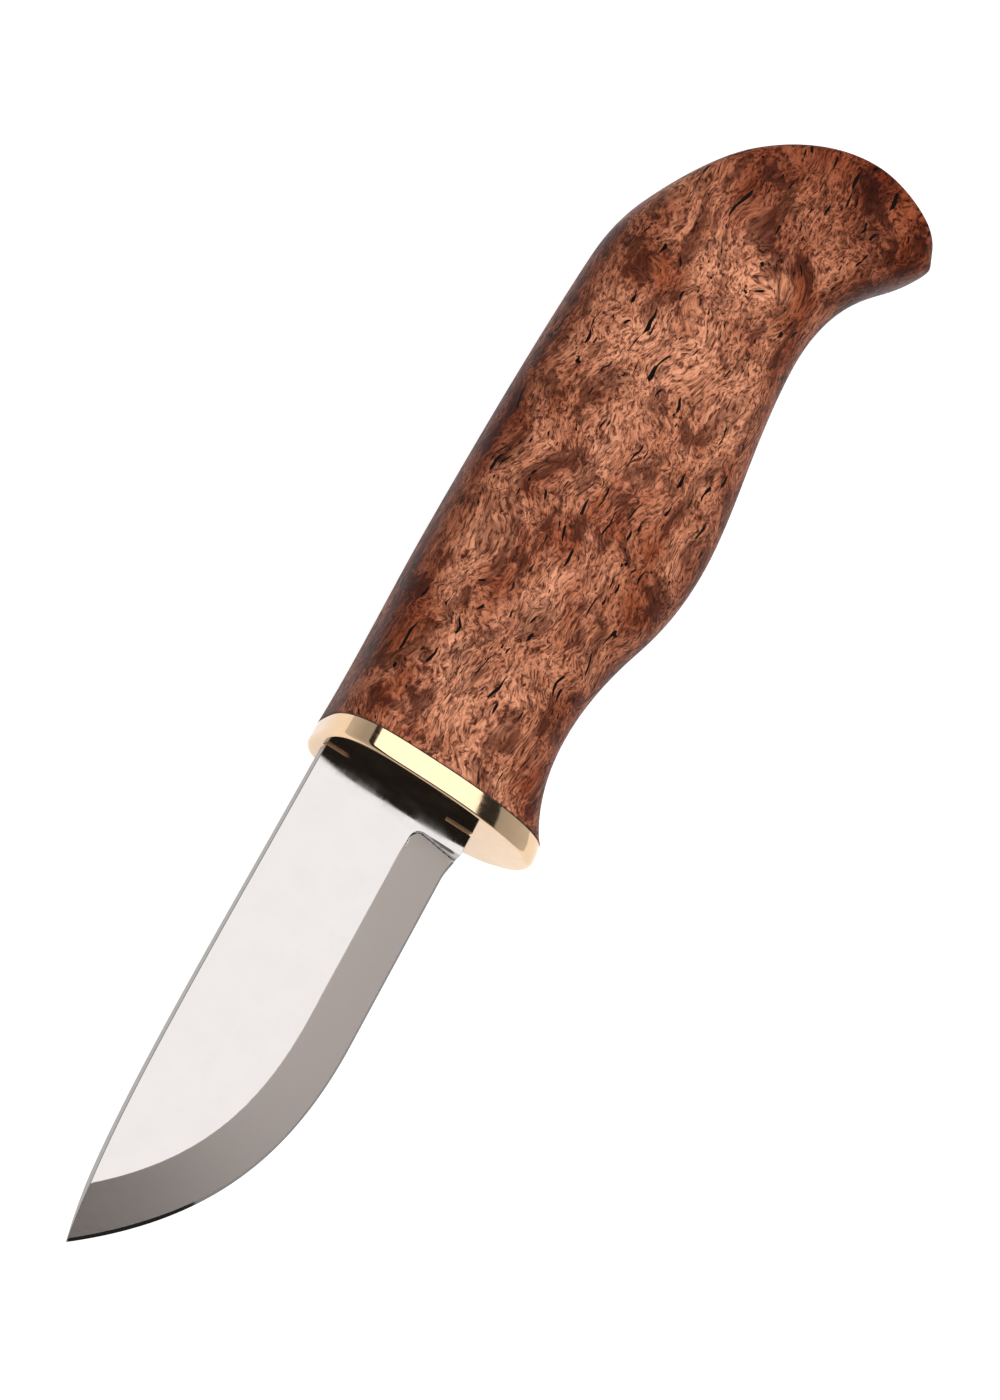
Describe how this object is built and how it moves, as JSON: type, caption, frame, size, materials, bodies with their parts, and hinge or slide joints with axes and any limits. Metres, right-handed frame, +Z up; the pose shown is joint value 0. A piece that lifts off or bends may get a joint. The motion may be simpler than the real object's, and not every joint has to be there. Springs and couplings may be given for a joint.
{
  "type": "belt knife",
  "caption": "Fixed-blade Nordic belt knife: short broad ground blade on a hidden stick tang, brass bolster with a finger stop, and a hooked curly birch handle.",
  "frame": {"origin": "on the surface that the knife lies on, below the centre of its bounding box", "axes": "+X from the blade's point towards the butt of the handle, +Y towards the back of the blade, +Z up, square to the blade's flats"},
  "size_m": [0.1854, 0.0426, 0.024],
  "materials": {
    "blade_steel": "polished flats, satin ground bevels",
    "bolster_brass": "polished",
    "handle_birch": "stained and oiled, satin",
    "glue": "cured dark epoxy"
  },
  "bodies": {
    "root": {"blade": "blade_steel", "bolster": "bolster_brass", "handle": "handle_birch", "epoxy": "glue"}
  },
  "joints": []
}
